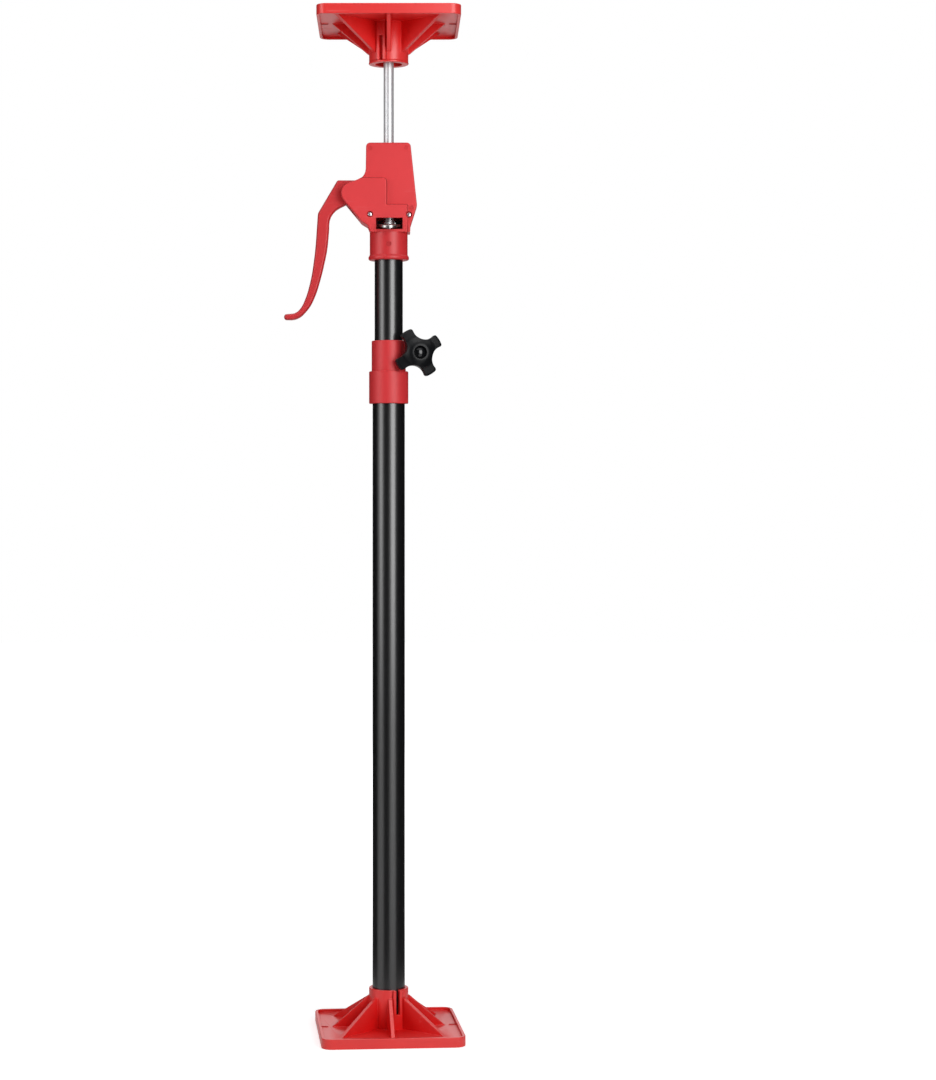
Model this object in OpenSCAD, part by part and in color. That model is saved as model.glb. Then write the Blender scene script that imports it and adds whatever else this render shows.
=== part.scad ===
// Telescopic drywall support pole: two square pads, two telescoping tubes with a clamp collar,
// and a jack head whose squeeze lever walks a steel rod upwards.
// Millimetres, +Z up, origin at the centre of the foot's face on the pole's axis, front is -Y.

/* [Tubes and rod] */
// Outer diameter of the lower tube
lower_d = 32; // [31:0.5:36]
// Outer diameter of the upper tube
upper_d = 28; // [26.5:0.5:28.4]
// Wall of both tubes
tube_wall = 1.5; // [1.2:0.1:1.7]
// Length of the lower tube
lower_len = 643; // [560:1:720]
// Length of the upper tube
upper_len = 580; // [420:1:620]
// Length of upper tube that shows between collar and head
tube_show = 79.6; // [30:0.5:200]
// Diameter of the push rod
rod_d = 10; // [8:0.5:10.5]
// Length of rod that shows between head and top pad
rod_show = 78.8; // [30:0.5:110]
// Length of the push rod
rod_len = 298; // [270:1:330]

/* [Pads] */
// Side of the square pads
pad_w = 140; // [130:1:170]
// Corner radius of the pads
pad_corner = 10; // [9:0.5:20]
// Height of a pad's rim
rim_h = 10; // [9:0.5:14]
// Width of the lip round the back of a pad
rim_lip = 3; // [2:0.5:6]
// Thickness of the web between face and back
web_t = 4; // [3:0.5:5]
// Height from a pad's face to the mouth of its hub
pad_h = 45.5; // [40:0.5:52]
// Wall of a pad's hub
hub_wall = 3.3; // [2.5:0.1:5]
// Thickness of a gusset
gusset_t = 4; // [3:0.5:6]
// Distance from a gusset's top to the hub's mouth
gusset_drop = 8; // [5:0.5:14]
// Reach of the gussets that point at the sides
side_reach = 56; // [44:1:60]
// Reach of the gussets that point at the corners
corner_reach = 72; // [50:1:76]
// Angle by which the foot is turned on its tube
foot_turn = 4.5; // [-20:0.5:20]

/* [Grip mats] */
// Width of the plain border round a mat
mat_border = 8; // [6:0.5:14]
// Thickness of a mat
mat_t = 3; // [2.5:0.1:4]
// Depth of the grooves between the blocks
groove_t = 1.5; // [0.8:0.1:2]
// Number of blocks across
block_cols = 15; // [7:2:17]
// Number of blocks from front to back
block_rows = 17; // [7:2:19]
// Width of a groove that runs from front to back
groove_w = 2.5; // [1.5:0.1:3]
// Width of a groove that runs across
cross_groove_w = 2.1; // [1.5:0.1:3]

/* [Clamp collar] */
// Length of collar that grips the lower tube
collar_grip = 26.5; // [20:0.5:40]
// Height of the collar's shoulder above the lower tube
shoulder_h = 5.5; // [4:0.5:9]
// Height of the clamp ring
clamp_h = 30.3; // [27:0.1:40]
// Wall of the collar round the lower tube
collar_wall = 3.4; // [2.5:0.1:5]
// Wall of the clamp ring
clamp_wall = 2.9; // [2.5:0.1:5]
// Distance from the pole's axis to the clamp bolt
bolt_x = 24.5; // [24:0.5:30]
// Thickness of an ear
ear_t = 9; // [7:0.5:11]
// Height of an ear
ear_h = 20; // [18:0.5:22]
// Width of the slit between the ears
slit_w = 2.5; // [1.5:0.1:4]
// Angle by which the clamp faces away from the front
clamp_turn = 12; // [-40:1:40]
// Diameter of the clamp bolt
bolt_d = 6; // [5:0.5:6]

/* [Knob] */
// Diameter over the knob's lobes
knob_d = 49; // [42:1:52]
// Diameter of the hollows between the lobes
scallop_d = 25; // [20:1:28]
// Height of the knob's rim
knob_rim_h = 8; // [6:0.5:10]
// Height of the knob from its back to its dome
knob_h = 14; // [12:0.5:18]
// Length of the boss behind the knob
knob_boss_h = 9; // [6:0.5:14]
// Diameter of the knob's cap
cap_d = 12.2; // [12:0.1:14]
// Angle at which the first lobe stands
lobe_turn = 32; // [0:1:89]

/* [Head] */
// Height of the head's covers
head_h = 88.4; // [85:0.1:94]
// Thickness of the head at its thin part
head_t = 26; // [24:0.5:30]
// Thickness of the head at its raised part
raised_t = 35; // [34:0.5:40]
// Wall of the covers
cover_wall = 2.4; // [2:0.1:2.6]
// Width of the window
window_w = 26.3; // [22:0.1:28]
// Height of the window
window_h = 11.3; // [9:0.1:12]
// Height of the socket from its flange to the covers
socket_h = 27; // [24:0.5:36]
// Outer diameter of the socket
socket_d = 37.5; // [35:0.5:40]
// Height of the socket's flange
flange_h = 4.4; // [3:0.1:6]
// Width by which the flange stands out
flange_out = 1.35; // [0.8:0.05:3]

/* [Lever] */
// Height from the pivot to the lever's tip
lever_len = 127; // [110:1:140]
// Width of the lever
lever_w = 12; // [9:0.5:12]
// Diameter of the lever's pin
pin_d = 6; // [5:0.5:7]
// Arm from the pivot to the lever's nose
nose_arm = 22; // [20:0.5:23]
// Radius of the lever's nose
nose_r = 3; // [2:0.5:4]

/* [Plates and springs] */
// Thickness of the grip plates and of the release plate
plate_t = 2.5; // [2:0.1:3]
// Width of the release plate where it holds the rod
release_w = 23; // [20:0.5:24]
// Width of the release tab
tab_w = 16; // [12:0.5:17]
// Distance from the pole's axis to the end of the tab
tab_reach = 38; // [34:0.5:44]
// Angle at which the release plate leans down to the front
release_lean = 3; // [2:0.5:4]
// Angle by which the tab is bent down further
tab_bend = 6; // [0:0.5:12]
// Wire of the release spring
release_wire = 1.2; // [1:0.1:1.3]
// Turns of the release spring
release_turns = 4.5; // [3:0.5:5]
// Wire of the grip spring
grip_wire = 1.6; // [1.2:0.1:1.8]
// Turns of the grip spring
grip_turns = 7.5; // [5:0.5:9]

/* [Clearances] */
// Gap all round a piece that runs in its bore
run_gap = 0.08; // [0.05:0.01:0.1]
// Gap all round a piece that is fixed in its seat
fit_gap = 0.05; // [0.03:0.01:0.1]
// Gap to a piece that stays clear
clear_gap = 0.3; // [0.2:0.05:0.5]

/* [Hidden] */
$fn = 64;
over = 1;
arc_steps = 5;

// Heights of the pole, from the floor up
web_top = mat_t + web_t;
lower_top = web_top + lower_len;
collar_z = lower_top - collar_grip;
clamp_z = lower_top + shoulder_h;
collar_top = clamp_z + clamp_h;
bolt_z = clamp_z + clamp_h * 0.58;
flange_z = collar_top + tube_show;
cover_z = flange_z + socket_h;
head_top = cover_z + head_h;
mouth_z = head_top + rod_show;
adapter_flange = 2;
pole_h = mouth_z + adapter_flange + pad_h;

// Radii of the tubes, the rod and their seats
lower_r = lower_d / 2;
lower_in = lower_r - tube_wall;
upper_r = upper_d / 2;
upper_in = upper_r - tube_wall;
rod_r = rod_d / 2;
hub_in = lower_r + 3 * fit_gap;
hub_r = hub_in + hub_wall;
tube_top = cover_z - flange_h - rod_r * 0.6;
tube_bottom = tube_top - upper_len;
guide_flange = 3;
guide_len = 20;
rod_in_pad = 26;
rod_top = mouth_z + adapter_flange + rod_in_pad;
rod_bottom = rod_top - rod_len;

// Sizes of a pad
field_w = pad_w - 2 * mat_border;
mat_w = field_w - 2 * clear_gap;
block_pitch_share = 0.0645;
row_pitch_share = 0.0573;
slot_w = 3.5;
slot_len = 24;
slot_boss_w = 9.7;
slot_boss_out = 1.2;
slot_angle = -67.5;
mark_w = 1.2;
mark_h = 0.8;
mark_gap = 4;
adapter_r = hub_in - fit_gap;
adapter_len = 32;
adapter_mouth = 3;
adapter_recess = 9;

// Sizes of the clamp and its knob
ear_face = slit_w / 2 + ear_t;
clamp_in = upper_r + run_gap;
clamp_r = upper_r + clamp_wall;
collar_in = lower_r + fit_gap;
collar_r = lower_r + fit_gap + collar_wall;
bolt_r = bolt_d / 2;
bolt_head_r = 6.5;
bolt_head_h = 3.4;
bolt_neck = 4;
washer_t = 1.6;
washer_r = 8;
knob_boss_r = 9;
knob_back = ear_face + washer_t + fit_gap;
knob_base = knob_back + knob_boss_h;
knob_r = knob_d / 2;
scallop_out = 1.5;
dome_r = 8.6;
cap_r = cap_d / 2;
cap_t = 2;
cap_sink = 0.8;
nut_flats = 10;
nut_t = 5;
nut_floor = knob_base + knob_boss_h * 0.5;

// Bush on the foot of the upper tube, and bush and clips on the foot of the rod
bush_collar = 10;
bush_spigot = 20;
rod_bush_len = 10;
clip_t = 1;
clip_r = 7;
groove_depth = 0.7;
clip_from_end = 2;

// Outline of the covers: corners [x, height, radius] as shares of their height
cover_outline_shares = [
    [0.242, 1, 0.045], [-0.252, 1, 0.045], [-0.258, 0.619, 0.136], [-0.605, 0.48, 0.115],
    [-0.302, 0.115, 0.03], [-0.234, 0.073, 0.03], [-0.205, 0, 0], [0.24, 0, 0],
    [0.244, 0.078, 0.068], [0.316, 0.304, 0.045]];

// Edge of the raised part: corners [x, height, radius] as shares of the covers' height
raised_outline_shares = [
    [-0.8, -0.1, 0], [0.21, -0.1, 0], [0.21, 0.303, 0.012], [-0.025, 0.303, 0.006],
    [-0.025, 0.601, 0.04], [-0.8, 0.601, 0]];

// Outline of the lever from its pivot: corners [x, height, radius] as shares of its length
lever_outline_shares = [
    [-0.132, 0.101, 0.02], [-0.2845, -0.157, 0.06], [-0.304, -0.442, 2.7], [-0.331, -0.643, 1.2],
    [-0.367, -0.787, 0.65], [-0.406, -0.882, 0.2], [-0.452, -0.936, 0.078],
    [-0.548, -0.944, 0.021], [-0.548, -0.989, 0.021], [-0.47, -0.991, 0.13],
    [-0.415, -0.967, 0.125], [-0.343, -0.888, 0.3], [-0.293, -0.777, 0.75],
    [-0.249, -0.62, 2.2], [-0.21, -0.442, 1], [-0.1965, -0.286, 0.6], [-0.196, -0.157, 0.145],
    [0.051, -0.037, 0.047], [0.051, 0.101, 0.05]];
lever_edge_y = lever_w * 0.4;
lever_edge_in = lever_len * 0.018;

// Places in the head
thin_y = head_t / 2;
raised_y = raised_t / 2;
window_mid = 0.6;
window_rise = 0.1;
window_z = cover_z + cover_wall + window_rise;
screw_z = cover_z + head_h * 0.195;
screw_left = -head_h * 0.21;
screw_right = head_h * 0.224;
screw_r = 1.6;
screw_head_r = 2.7;
screw_head_h = 1.7;
screw_recess_r = 3.2;
screw_seat = 2.6;
screw_boss_r = 4.2;
pivot_x = -head_h * 0.385;
pivot_z = cover_z + head_h * 0.448;
pin_r = pin_d / 2;
pin_boss_wall = 3.5;
pin_boss_r = pin_r + pin_boss_wall;
arm_root = 6.4;
arm_step = 0.5;
arm_w = lever_w - 2 * arm_step;
lever_side_gap = 1;
lever_slot = lever_w + 2 * lever_side_gap;
rod_hole_r = rod_r + 2 * clear_gap;
neck_step = 0.5;
neck_r = lower_r - neck_step;
neck_h = cover_wall - fit_gap;
mark_r = 2.1;
mark_sink = 0.4;
mark_shares = [[-0.204, 0.939], [0.192, 0.943], [0.252, 0.271]];
dimple_r = 2.5;
dimple_sink = 0.8;
shelf_z = cover_z + head_h * 0.222;
shelf_half = 12;

// Plates: fulcrum of the release plate, and seat of the grip plates
fulcrum_y = 13;
fulcrum_end = 0.6;
fulcrum_rise = 3.8;
fulcrum_z = cover_z + cover_wall + plate_t / 2 + fulcrum_rise;
fulcrum_rib = 3;
shoulder_y = 26;
shoulder_r = 1.5;
flare_len = 4;
flare_r = 5;
bend_y = 32;
tab_end_r = 8.3;
release_hole_gap = 0.4;
release_hole_r = rod_r + release_hole_gap;
grip_hole_r = rod_r + clear_gap;
grip_left = 16;
grip_right = 12;
grip_half = 9;
grip_gap = 0.5;
grip_z = pivot_z + nose_r + clear_gap;
grip_top = grip_z + 2 * plate_t + grip_gap;

// Springs: radius at the rings, so that the flats between the rings clear the rod
spring_sides = 6;
spring_rings = 8;
release_spring_r = (rod_r + run_gap + release_wire / 2) / cos(180 / spring_rings);
release_spring_low = fulcrum_z + plate_t / 2 + fulcrum_y * sin(release_lean) * 0.1;
grip_spring_gap = 2;
grip_spring_r = (rod_r + grip_spring_gap + grip_wire / 2) / cos(180 / spring_rings);

function unit(v) = v / norm(v);
function turned(v, a) = [v.x * cos(a) - v.y * sin(a), v.x * sin(a) + v.y * cos(a)];
function scaled(shares, size) = [for (p = shares) p * size];

// Points of a closed outline, counter-clockwise corners [x, y, radius], moved in by an inset
function rounded(corners, inset = 0) = [
    for (i = [0 : len(corners) - 1])
        let (
            n = len(corners),
            a = corners[(i + n - 1) % n],
            b = corners[i],
            c = corners[(i + 1) % n],
            u = unit([b.x - a.x, b.y - a.y]),
            w = unit([c.x - b.x, c.y - b.y]),
            nu = [-u.y, u.x],
            nw = [-w.y, w.x],
            turn = atan2(u.x * w.y - u.y * w.x, u * w),
            side = sign(turn),
            p = [b.x, b.y] + inset * (nu + nw) / (1 + nu * nw),
            r = max(b.z - side * inset, 0),
            steps = r > 0 ? arc_steps : 0,
            centre = p - u * r * tan(abs(turn) / 2) + nu * r * side)
        for (k = [0 : steps])
            steps == 0 ? p : centre - turned(nu * r * side, turn * k / steps)];

// Triangles that fill a closed outline, cut off it one ear at a time
function area(a, b, c) = (b.x - a.x) * (c.y - a.y) - (b.y - a.y) * (c.x - a.x);
function is_ear(p, a, b, c, others) = area(p[a], p[b], p[c]) > 0
    && len([for (j = others)
        if (j != a && j != b && j != c && area(p[a], p[b], p[j]) >= 0
            && area(p[b], p[c], p[j]) >= 0 && area(p[c], p[a], p[j]) >= 0) j]) == 0;
function first_ear(p, left, k) = let (n = len(left))
    is_ear(p, left[(k + n - 1) % n], left[k], left[(k + 1) % n], left) || k == n - 1
        ? k : first_ear(p, left, k + 1);
function ears(p, left) = let (n = len(left), k = n > 3 ? first_ear(p, left, 0) : 1)
    concat([[left[(k + n - 1) % n], left[k], left[(k + 1) % n]]],
           n > 3 ? ears(p, [for (i = [0 : n - 1]) if (i != k) left[i]]) : []);

// Slab of an upright outline [x, z] between two depths
module upright(points, y0, y1) {
    translate([0, y1, 0])
        rotate([90, 0, 0])
            linear_extrude(y1 - y0)
                polygon(points);
}

// Upright slab with rounded edges: rings of the outline from the front face to the back
module soft_slab(corners, width, edge_y, edge_in) {
    half = arc_steps;
    front = [for (k = [0 : half]) [edge_y * (1 - cos(90 * k / half)) - width / 2,
                                   edge_in * (1 - sin(90 * k / half))]];
    back = [for (k = [half : -1 : 0]) [-front[k][0], front[k][1]]];
    rings = concat(front, back);
    n = len(rounded(corners, 0));
    points = [for (q = rings) for (p = rounded(corners, q[1])) [p.x, q[0], p.y]];
    last = (len(rings) - 1) * n;
    walls = [for (j = [0 : len(rings) - 2]) for (i = [0 : n - 1])
        let (a = j * n + i, b = j * n + (i + 1) % n, c = a + n, d = b + n)
        each [[a, b, c], [b, d, c]]];
    fill = ears(rounded(corners, edge_in), [for (i = [0 : n - 1]) i]);
    caps = [for (t = fill) each [[t[2], t[1], t[0]], [last + t[0], last + t[1], last + t[2]]]];
    polyhedron(points = points, faces = concat(walls, caps), convexity = 6);
}

module ring(outer, inner, z0, z1) {
    difference() {
        translate([0, 0, z0])
            cylinder(h = z1 - z0, r = outer);
        translate([0, 0, z0 - over])
            cylinder(h = z1 - z0 + 2 * over, r = inner);
    }
}

// Square with rounded corners, centred, from a height up
module soft_square(width, corner, z0, z1) {
    h = width / 2;
    corners = [[-h, -h, corner], [h, -h, corner], [h, h, corner], [-h, h, corner]];
    translate([0, 0, z0])
        linear_extrude(z1 - z0)
            polygon(rounded(corners));
}

module gusset(reach) {
    top = pad_h - gusset_drop;
    root = hub_in + hub_wall / 2;
    run = (reach - hub_r - over) / (top - web_top);
    translate([0, gusset_t / 2, 0])
        rotate([90, 0, 0])
            linear_extrude(gusset_t)
                polygon([[root, web_top - over], [reach + over * run, web_top - over],
                         [hub_r + over, top], [root, top]]);
}

// Pad with its face down: plate with a recess each side, hub, gussets and a slotted boss
module pad_moulding() {
    difference() {
        union() {
            difference() {
                soft_square(pad_w, pad_corner, 0, rim_h);
                soft_square(pad_w - 2 * rim_lip, pad_corner - rim_lip, web_top, rim_h + over);
            }
            cylinder(h = pad_h, r = hub_r);
            for (i = [0 : 3]) {
                rotate([0, 0, 90 * i])
                    gusset(side_reach);
                rotate([0, 0, 90 * i + 45])
                    gusset(corner_reach);
                rotate([0, 0, 90 * i])
                    translate([side_reach + mark_gap, -mark_w / 2, web_top - over])
                        cube([pad_w / 2 - rim_lip - side_reach - mark_gap + over, mark_w,
                              mark_h + over]);
            }
            rotate([0, 0, slot_angle])
                translate([hub_in + hub_wall / 2, -slot_boss_w / 2, web_top - over])
                    cube([hub_wall / 2 + slot_boss_out, slot_boss_w, pad_h - web_top + over]);
        }
        translate([0, 0, web_top])
            cylinder(h = pad_h, r = hub_in);
        soft_square(field_w, pad_corner - rim_lip, -over, mat_t);
        rotate([0, 0, slot_angle])
            translate([0, -slot_w / 2, pad_h - slot_len])
                cube([hub_r + slot_boss_out + over, slot_w, slot_len + over]);
    }
}

// Mat with its blocks down: columns and rows of grooves cut into a slab
module mat_moulding() {
    pitch_x = field_w * block_pitch_share;
    pitch_y = field_w * row_pitch_share;
    edge_x = (block_cols * pitch_x - groove_w) / 2;
    edge_y = (block_rows * pitch_y - cross_groove_w) / 2;
    reach = mat_w / 2 + over;
    difference() {
        soft_square(mat_w, pad_corner - rim_lip - clear_gap, 0, mat_t);
        for (i = [1 : block_cols - 1])
            translate([(i - block_cols / 2) * pitch_x - groove_w / 2, -reach, -over])
                cube([groove_w, 2 * reach, groove_t + over]);
        for (i = [1 : block_rows - 1])
            translate([-reach, (i - block_rows / 2) * pitch_y - cross_groove_w / 2, -over])
                cube([2 * reach, cross_groove_w, groove_t + over]);
        for (s = [-1, 1]) {
            translate([s > 0 ? edge_x : -reach, -reach, -over])
                cube([reach - edge_x, 2 * reach, groove_t + over]);
            translate([-reach, s > 0 ? edge_y : -reach, -over])
                cube([2 * reach, reach - edge_y, groove_t + over]);
        }
    }
}

module foot_plate() {
    color("crimson")
        rotate([0, 0, foot_turn])
            pad_moulding();
}

module foot_grip_mat() {
    color("indianred")
        rotate([0, 0, foot_turn])
            mat_moulding();
}

module top_plate() {
    color("crimson")
        translate([0, 0, pole_h])
            rotate([0, 180, 0])
                pad_moulding();
}

module top_grip_mat() {
    color("indianred")
        translate([0, 0, pole_h])
            rotate([0, 180, 0])
                mat_moulding();
}

// Plug that brings the top pad's hub down to the rod
module pad_adapter() {
    color("firebrick")
        difference() {
            union() {
                translate([0, 0, mouth_z])
                    cylinder(h = adapter_flange, r = hub_r + fit_gap * 6);
                translate([0, 0, mouth_z + adapter_flange])
                    cylinder(h = adapter_len, r = adapter_r);
            }
            translate([0, 0, mouth_z - over])
                cylinder(h = adapter_recess + over, r = adapter_r - adapter_mouth);
            translate([0, 0, mouth_z])
                cylinder(h = rod_top - mouth_z, r = rod_r + fit_gap);
        }
}

module lower_tube() {
    color("dimgray")
        ring(lower_r, lower_in, web_top, lower_top);
}

module upper_tube() {
    color("dimgray")
        ring(upper_r, upper_in, tube_bottom, tube_top);
}

module slide_bush() {
    color("gainsboro")
        difference() {
            union() {
                translate([0, 0, tube_bottom - bush_collar])
                    cylinder(h = bush_collar, r = lower_in - run_gap);
                translate([0, 0, tube_bottom])
                    cylinder(h = bush_spigot, r = upper_in - run_gap);
            }
            translate([0, 0, tube_bottom - bush_collar - over])
                cylinder(h = bush_collar + bush_spigot + 2 * over, r = upper_in - run_gap - tube_wall);
        }
}

// Frame of the clamp bolt: local Z along the bolt to the knob, local Y up, origin in the slit
module at_bolt() {
    translate([0, 0, bolt_z])
        rotate([0, 0, clamp_turn])
            translate([bolt_x, 0, 0])
                rotate([90, 0, 0])
                    children();
}

module clamp_collar() {
    color("firebrick")
        difference() {
            union() {
                translate([0, 0, collar_z])
                    cylinder(h = clamp_z - collar_z, r = collar_r);
                translate([0, 0, clamp_z])
                    cylinder(h = clamp_h, r = clamp_r);
                at_bolt() {
                    translate([0, 0, -ear_face])
                        cylinder(h = 2 * ear_face, r = ear_h / 2);
                    translate([-bolt_x + clamp_in / 2, -ear_h / 2, -ear_face])
                        cube([bolt_x - clamp_in / 2, ear_h, 2 * ear_face]);
                }
            }
            translate([0, 0, collar_z - over])
                cylinder(h = collar_grip + over, r = collar_in);
            translate([0, 0, collar_z])
                cylinder(h = collar_top - collar_z + over, r = clamp_in);
            rotate([0, 0, clamp_turn])
                translate([0, -slit_w / 2, clamp_z + slit_w])
                    cube([bolt_x + ear_h, slit_w, clamp_h]);
            at_bolt() {
                translate([0, 0, -ear_face - over])
                    cylinder(h = 2 * (ear_face + over), r = bolt_r + fit_gap);
                translate([-bolt_r - fit_gap, -bolt_r - fit_gap, -ear_face - over])
                    cube([bolt_d + 2 * fit_gap, bolt_d + 2 * fit_gap, bolt_neck + over + fit_gap]);
            }
        }
}

// Bolt with a cup head and a square neck in the rear ear
module clamp_bolt() {
    tip = nut_floor + nut_t + bolt_d / 8;
    color("silver")
        at_bolt() {
            translate([0, 0, -ear_face])
                cylinder(h = ear_face + tip, r = bolt_r);
            translate([-bolt_r, -bolt_r, -ear_face])
                cube([bolt_d, bolt_d, bolt_neck]);
            translate([0, 0, -ear_face])
                rotate([180, 0, 0])
                    cylinder(h = bolt_head_h, r1 = bolt_head_r, r2 = bolt_head_r * 0.6);
        }
}

module clamp_washer() {
    color("silver")
        at_bolt()
            ring(washer_r, bolt_r + run_gap, ear_face, ear_face + washer_t);
}

// Knob: a domed disc with four hollows, a boss behind it and a hexagonal pocket for its nut
module clamp_knob() {
    top = knob_base + knob_h;
    color("black")
        at_bolt()
            difference() {
                rotate([0, 0, lobe_turn])
                    difference() {
                        rotate_extrude()
                            polygon([[0, knob_back], [knob_boss_r, knob_back],
                                     [knob_boss_r, knob_base], [knob_r, knob_base],
                                     [knob_r, knob_base + knob_rim_h],
                                     [knob_r * 0.6, knob_base + knob_rim_h * 1.15],
                                     [knob_r * 0.45, top - knob_h * 0.15], [dome_r, top],
                                     [0, top]]);
                        for (i = [0 : 3])
                            rotate([0, 0, 90 * i + 45])
                                translate([knob_r + scallop_out, 0, knob_base - over])
                                    cylinder(h = knob_h + 2 * over, r = scallop_d / 2);
                    }
                translate([0, 0, knob_back - over])
                    cylinder(h = knob_h + knob_boss_h, r = bolt_r + run_gap);
                translate([0, 0, nut_floor])
                    cylinder(h = knob_h + knob_boss_h, r = (nut_flats / 2 + fit_gap) / cos(30), $fn = 6);
                translate([0, 0, top - cap_sink - cap_t])
                    cylinder(h = cap_t + cap_sink + over, r = cap_r);
            }
}

module clamp_nut() {
    color("silver")
        at_bolt()
            translate([0, 0, nut_floor])
                difference() {
                    cylinder(h = nut_t, r = nut_flats / 2 / cos(30), $fn = 6);
                    translate([0, 0, -over])
                        cylinder(h = nut_t + 2 * over, r = bolt_r + fit_gap);
                }
}

module knob_cap() {
    top = knob_base + knob_h - cap_sink;
    color("black")
        at_bolt()
            rotate_extrude()
                polygon([[0, top - cap_t], [cap_r - fit_gap, top - cap_t],
                         [cap_r - fit_gap, top - cap_t / 2], [cap_r * 0.5, top - cap_t / 8],
                         [0, top]]);
}

// Socket that carries the head on the upper tube
module tube_socket() {
    body_r = socket_d / 2;
    lip = flange_h / 4;
    color("firebrick")
        difference() {
            union() {
                translate([0, 0, flange_z])
                    rotate_extrude()
                        polygon([[0, 0], [body_r + flange_out - lip, 0], [body_r + flange_out, lip],
                                 [body_r + flange_out, flange_h - lip], [body_r + lip / 2, flange_h],
                                 [body_r, flange_h + lip], [body_r, socket_h], [0, socket_h]]);
                translate([0, 0, cover_z])
                    cylinder(h = neck_h, r = neck_r);
            }
            translate([0, 0, flange_z - over])
                cylinder(h = tube_top + guide_flange - flange_z + over, r = upper_r + fit_gap);
            translate([0, 0, flange_z])
                cylinder(h = socket_h + neck_h + over, r = upper_in - fit_gap);
            translate([0, -body_r - over, flange_z + socket_h * 0.55])
                rotate([-90, 0, 0])
                    cylinder(h = dimple_sink + over, r = dimple_r);
        }
}

// Plug in the top of the upper tube that guides the rod
module rod_guide() {
    color("gainsboro")
        difference() {
            union() {
                translate([0, 0, tube_top - guide_len])
                    cylinder(h = guide_len, r = upper_in - fit_gap);
                translate([0, 0, tube_top])
                    cylinder(h = guide_flange, r = upper_r);
            }
            translate([0, 0, tube_top - guide_len - over])
                cylinder(h = guide_len + guide_flange + 2 * over, r = rod_r + run_gap);
        }
}

// Solid of a front cover half, or with an inset the hollow inside it
module cover_solid(inset) {
    outline = rounded(scaled(cover_outline_shares, head_h), inset);
    raised = rounded(scaled(raised_outline_shares, head_h), inset);
    front = inset > 0 ? over : 0;
    translate([0, 0, cover_z]) {
        upright(outline, inset - thin_y, front);
        intersection() {
            upright(outline, inset - raised_y, front);
            upright(raised, inset - raised_y, front);
        }
    }
}

// Post between the halves at a place in the head, from the seam to the front
module cover_post(x, z, r, y0) {
    translate([x, 0, z])
        rotate([90, 0, 0])
            translate([0, 0, y0])
                cylinder(h = raised_y - y0, r = r);
}

// Half of the head as a shell: walls, posts for pin and screws, shelf and fulcrum ribs
module cover_half() {
    difference() {
        union() {
            difference() {
                cover_solid(0);
                cover_solid(cover_wall);
            }
            intersection() {
                cover_solid(0);
                union() {
                    cover_post(pivot_x, pivot_z, pin_boss_r, lever_slot / 2);
                    cover_post(screw_left, screw_z, screw_boss_r, 0);
                    cover_post(screw_right, screw_z, screw_boss_r, 0);
                    translate([-shelf_half, -raised_y, shelf_z])
                        cube([2 * shelf_half, raised_y, cover_wall]);
                }
            }
        }
        translate([pivot_x, 0, pivot_z])
            rotate([90, 0, 0])
                cylinder(h = raised_y - cover_wall / 2, r = pin_r + fit_gap);
        translate([-head_h, -lever_slot / 2, cover_z + head_h * 0.185])
            cube([head_h * 0.72, lever_slot, head_h * 0.458]);
        translate([0, 0, cover_z - over])
            cylinder(h = cover_wall + 2 * over, r = neck_r + fit_gap);
        translate([0, 0, shelf_z - over])
            cylinder(h = head_h, r = rod_hole_r);
        for (s = mark_shares)
            translate([s[0] * head_h, -thin_y - over, cover_z + s[1] * head_h])
                rotate([-90, 0, 0])
                    cylinder(h = mark_sink + over, r = mark_r);
    }
}

module front_cover() {
    color("tomato")
        difference() {
            cover_half();
            translate([window_mid - window_w / 2, -raised_y - over, window_z])
                cube([window_w, raised_y - cover_wall + over, window_h]);
            for (x = [screw_left, screw_right])
                translate([x, -raised_y - over, screw_z])
                    rotate([-90, 0, 0]) {
                        cylinder(h = raised_y + 2 * over, r = screw_r + fit_gap);
                        cylinder(h = over + screw_seat + (x < 0 ? 0 : raised_y - thin_y),
                                 r = screw_recess_r);
                    }
        }
}

module rear_cover() {
    rib_y = raised_y - cover_wall;
    color("tomato")
        difference() {
            mirror([0, 1, 0])
                cover_half();
            for (x = [screw_left, screw_right])
                translate([x, -over, screw_z])
                    rotate([-90, 0, 0])
                        cylinder(h = thin_y - cover_wall + over, r = screw_r + fit_gap);
        }
    color("tomato")
        for (z = [window_z, fulcrum_z + plate_t / 2 + clear_gap + fulcrum_y / 8])
            translate([-release_w / 2, fulcrum_y - fulcrum_rib / 2, z])
                cube([release_w, rib_y - fulcrum_y + fulcrum_rib / 2 + over / 2,
                      z > window_z ? fulcrum_rib
                                   : fulcrum_z - plate_t / 2 - clear_gap - window_z]);
}

// Pan head screws through the front cover into the rear one
module cover_screws() {
    color("silver")
        for (x = [screw_left, screw_right]) {
            seat = (x < 0 ? raised_y : thin_y) - screw_seat;
            translate([x, -seat, screw_z])
                rotate([-90, 0, 0]) {
                    cylinder(h = seat + thin_y - cover_wall - clear_gap, r = screw_r);
                    difference() {
                        translate([0, 0, -screw_head_h])
                            cylinder(h = screw_head_h, r1 = screw_head_r * 0.7, r2 = screw_head_r);
                        for (a = [0, 90])
                            rotate([0, 0, a])
                                translate([-screw_head_r * 0.6, -screw_r / 5, -screw_head_h - over])
                                    cube([screw_head_r * 1.2, screw_r * 0.4, over + screw_head_h / 2]);
                    }
                }
        }
}

module lever_pin() {
    half = raised_y - cover_wall / 2 - clear_gap;
    color("silver")
        translate([pivot_x, half, pivot_z])
            rotate([90, 0, 0])
                cylinder(h = 2 * half, r = pin_r);
}

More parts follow.
